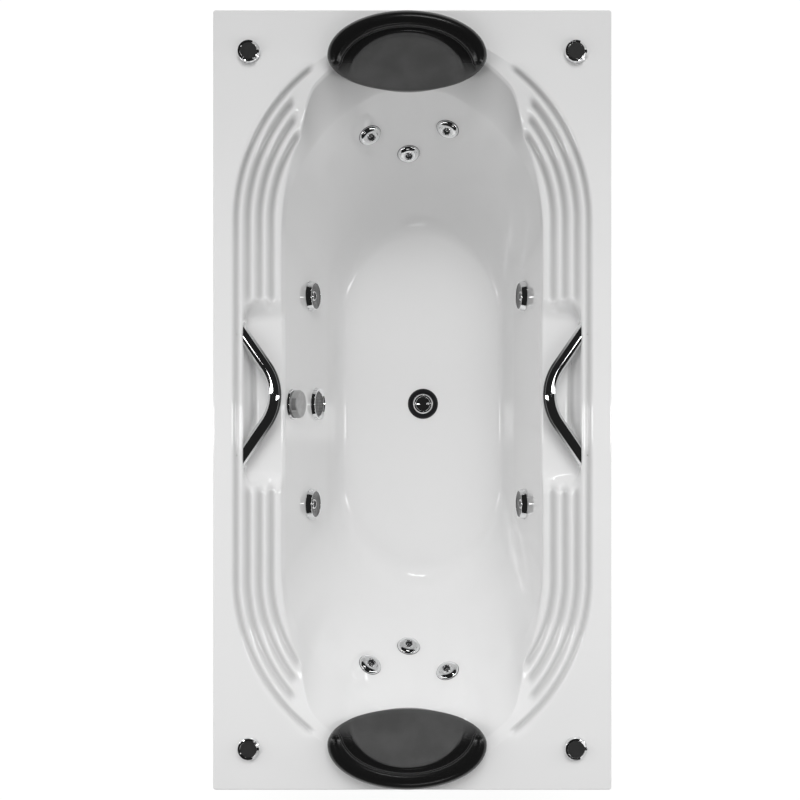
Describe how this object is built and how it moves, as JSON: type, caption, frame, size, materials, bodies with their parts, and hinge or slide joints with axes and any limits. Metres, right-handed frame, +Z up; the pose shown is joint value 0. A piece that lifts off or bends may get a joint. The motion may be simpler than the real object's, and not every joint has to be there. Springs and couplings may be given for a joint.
{
  "type": "jetted bathtub",
  "caption": "White drop-in jetted bath with head pillows, grab handles, adjustable jets, air controls and a suction pump, on a steel cradle with levelling feet.",
  "frame": {"origin": "on the floor, under the middle of the rim", "axes": "+Z up, +Y along the tub's length away from the pump, -X to the wall with the overflow filler"},
  "size_m": [0.92, 1.8, 0.6348],
  "materials": {
    "shell": "gloss acrylic",
    "board": "raw chipboard",
    "frame_paint": "grey powder coat",
    "zinc": "zinc plated",
    "pillow": "smooth black skinned foam",
    "handle_chrome": "polished",
    "fitting_chrome": "polished",
    "fitting_plastic": "moulded",
    "drain_black": "moulded",
    "pipe": "extruded",
    "hose": "ribbed flexible",
    "pump_plastic": "moulded",
    "motor_paint": "painted cast housing"
  },
  "bodies": {
    "tub": {"air_control_bodies": "fitting_plastic", "air_tubes": "pipe", "back_jet_bodies": "fitting_plastic", "back_jet_nuts": "fitting_plastic", "back_jet_rings": "fitting_chrome", "base_board": "board", "control_nuts": "fitting_plastic", "drain_flange": "drain_black", "fan_cowl": "pump_plastic", "foot_lock_nuts": "zinc", "frame_cross_tubes": "frame_paint", "frame_posts": "frame_paint", "frame_rails": "frame_paint", "handle_left": "handle_chrome", "handle_nuts": "zinc", "handle_right": "handle_chrome", "levelling_feet": "zinc", "motor_housing": "motor_paint", "overflow_body": "fitting_plastic", "overflow_hose": "hose", "overflow_ring": "fitting_chrome", "pillow_foot": "pillow", "pillow_head": "pillow", "pillow_pins": "zinc", "pump_bracket": "frame_paint", "pump_volute": "pump_plastic", "ring_main": "pipe", "side_jet_bodies": "fitting_plastic", "side_jet_nuts": "fitting_plastic", "start_bezel": "fitting_chrome", "suction_body": "fitting_plastic", "suction_cover": "fitting_chrome", "suction_pipe": "pipe", "tub_shell": "shell", "wall_fitting_nuts": "fitting_plastic", "waste_body": "fitting_plastic"},
    "back_nozzle_1": {"back_jet_nozzle_1": "fitting_chrome"},
    "back_nozzle_2": {"back_jet_nozzle_2": "fitting_chrome"},
    "back_nozzle_3": {"back_jet_nozzle_3": "fitting_chrome"},
    "back_nozzle_4": {"back_jet_nozzle_4": "fitting_chrome"},
    "back_nozzle_5": {"back_jet_nozzle_5": "fitting_chrome"},
    "back_nozzle_6": {"back_jet_nozzle_6": "fitting_chrome"},
    "side_face_1": {"side_jet_face_1": "fitting_chrome"},
    "side_nozzle_1": {"side_jet_nozzle_1": "fitting_chrome"},
    "side_face_2": {"side_jet_face_2": "fitting_chrome"},
    "side_nozzle_2": {"side_jet_nozzle_2": "fitting_chrome"},
    "side_face_3": {"side_jet_face_3": "fitting_chrome"},
    "side_nozzle_3": {"side_jet_nozzle_3": "fitting_chrome"},
    "side_face_4": {"side_jet_face_4": "fitting_chrome"},
    "side_nozzle_4": {"side_jet_nozzle_4": "fitting_chrome"},
    "air_knob_1": {"air_knob_1": "fitting_chrome"},
    "air_knob_2": {"air_knob_2": "fitting_chrome"},
    "air_knob_3": {"air_knob_3": "fitting_chrome"},
    "start_button": {"start_button": "fitting_chrome"},
    "overflow_cap": {"overflow_cap": "fitting_chrome"},
    "drain_plug": {"drain_plug": "fitting_chrome"},
    "rotor": {"pump_impeller": "pump_plastic", "motor_shaft": "zinc", "cooling_fan": "pump_plastic"}
  },
  "joints": [
    {"name": "back_nozzle_1_tilt", "type": "hinge", "parent": "tub", "child": "back_nozzle_1", "pos_m": [-0.101, 0.64148, 0.43], "axis": [-0.8748, -0.4844, 0], "range_deg": [-12, 12]},
    {"name": "back_nozzle_2_tilt", "type": "hinge", "parent": "tub", "child": "back_nozzle_2", "pos_m": [-0.007, 0.61152, 0.351], "axis": [-0.9924, -0.1228, 0], "range_deg": [-12, 12]},
    {"name": "back_nozzle_3_tilt", "type": "hinge", "parent": "tub", "child": "back_nozzle_3", "pos_m": [0.087, 0.65649, 0.43], "axis": [-0.9408, 0.3388, 0], "range_deg": [-12, 12]},
    {"name": "back_nozzle_4_tilt", "type": "hinge", "parent": "tub", "child": "back_nozzle_4", "pos_m": [-0.101, -0.64148, 0.43], "axis": [0.8748, -0.4844, 0], "range_deg": [-12, 12]},
    {"name": "back_nozzle_5_tilt", "type": "hinge", "parent": "tub", "child": "back_nozzle_5", "pos_m": [-0.007, -0.61152, 0.351], "axis": [0.9924, -0.1228, 0], "range_deg": [-12, 12]},
    {"name": "back_nozzle_6_tilt", "type": "hinge", "parent": "tub", "child": "back_nozzle_6", "pos_m": [0.087, -0.65649, 0.43], "axis": [0.9408, 0.3388, 0], "range_deg": [-12, 12]},
    {"name": "side_face_1_turn", "type": "hinge", "parent": "tub", "child": "side_face_1", "pos_m": [-0.24973, 0.257, 0.365], "axis": [0.9549, 0, 0.2969], "range_deg": [0, 90]},
    {"name": "side_nozzle_1_tilt", "type": "hinge", "parent": "side_face_1", "child": "side_nozzle_1", "pos_m": [-0.24973, 0.257, 0.365], "axis": [0, -1, 0], "range_deg": [-12, 12]},
    {"name": "side_face_2_turn", "type": "hinge", "parent": "tub", "child": "side_face_2", "pos_m": [-0.24973, -0.257, 0.365], "axis": [0.9549, 0, 0.2969], "range_deg": [0, 90]},
    {"name": "side_nozzle_2_tilt", "type": "hinge", "parent": "side_face_2", "child": "side_nozzle_2", "pos_m": [-0.24973, -0.257, 0.365], "axis": [0, -1, 0], "range_deg": [-12, 12]},
    {"name": "side_face_3_turn", "type": "hinge", "parent": "tub", "child": "side_face_3", "pos_m": [0.27965, 0.257, 0.365], "axis": [-0.9897, 0, 0.1432], "range_deg": [0, 90]},
    {"name": "side_nozzle_3_tilt", "type": "hinge", "parent": "side_face_3", "child": "side_nozzle_3", "pos_m": [0.27965, 0.257, 0.365], "axis": [0, 1, 0], "range_deg": [-12, 12]},
    {"name": "side_face_4_turn", "type": "hinge", "parent": "tub", "child": "side_face_4", "pos_m": [0.27965, -0.257, 0.365], "axis": [-0.9897, 0, 0.1432], "range_deg": [0, 90]},
    {"name": "side_nozzle_4_tilt", "type": "hinge", "parent": "side_face_4", "child": "side_nozzle_4", "pos_m": [0.27965, -0.257, 0.365], "axis": [0, 1, 0], "range_deg": [-12, 12]},
    {"name": "air_knob_1_turn", "type": "hinge", "parent": "tub", "child": "air_knob_1", "pos_m": [-0.377, 0.803, 0.58], "axis": [0, 0, 1], "range_deg": [0, 180]},
    {"name": "air_knob_2_turn", "type": "hinge", "parent": "tub", "child": "air_knob_2", "pos_m": [0.377, 0.803, 0.58], "axis": [0, 0, 1], "range_deg": [0, 180]},
    {"name": "air_knob_3_turn", "type": "hinge", "parent": "tub", "child": "air_knob_3", "pos_m": [-0.377, -0.803, 0.58], "axis": [0, 0, 1], "range_deg": [0, 180]},
    {"name": "start_button_press", "type": "slide", "parent": "tub", "child": "start_button", "axis": [0, 0, -1], "range_m": [0, 0.004], "stiffness_N_per_m": 1500, "springref_m": -0.001},
    {"name": "overflow_cap_turn", "type": "hinge", "parent": "tub", "child": "overflow_cap", "pos_m": [-0.28518, -0.01, 0.479], "axis": [0.9549, 0, 0.2969], "range_deg": [0, 90]},
    {"name": "drain_plug_lift", "type": "slide", "parent": "tub", "child": "drain_plug", "axis": [0, 0, 1], "range_m": [0, 0.01]},
    {"name": "rotor_spin", "type": "hinge", "parent": "tub", "child": "rotor", "pos_m": [-0.14, -0.722, 0.215], "axis": [1, 0, 0], "continuous": true}
  ],
  "couplings": [
    {"joint": "drain_plug_lift", "follows": "overflow_cap_turn", "m_per_rad": 0.006366}
  ]
}
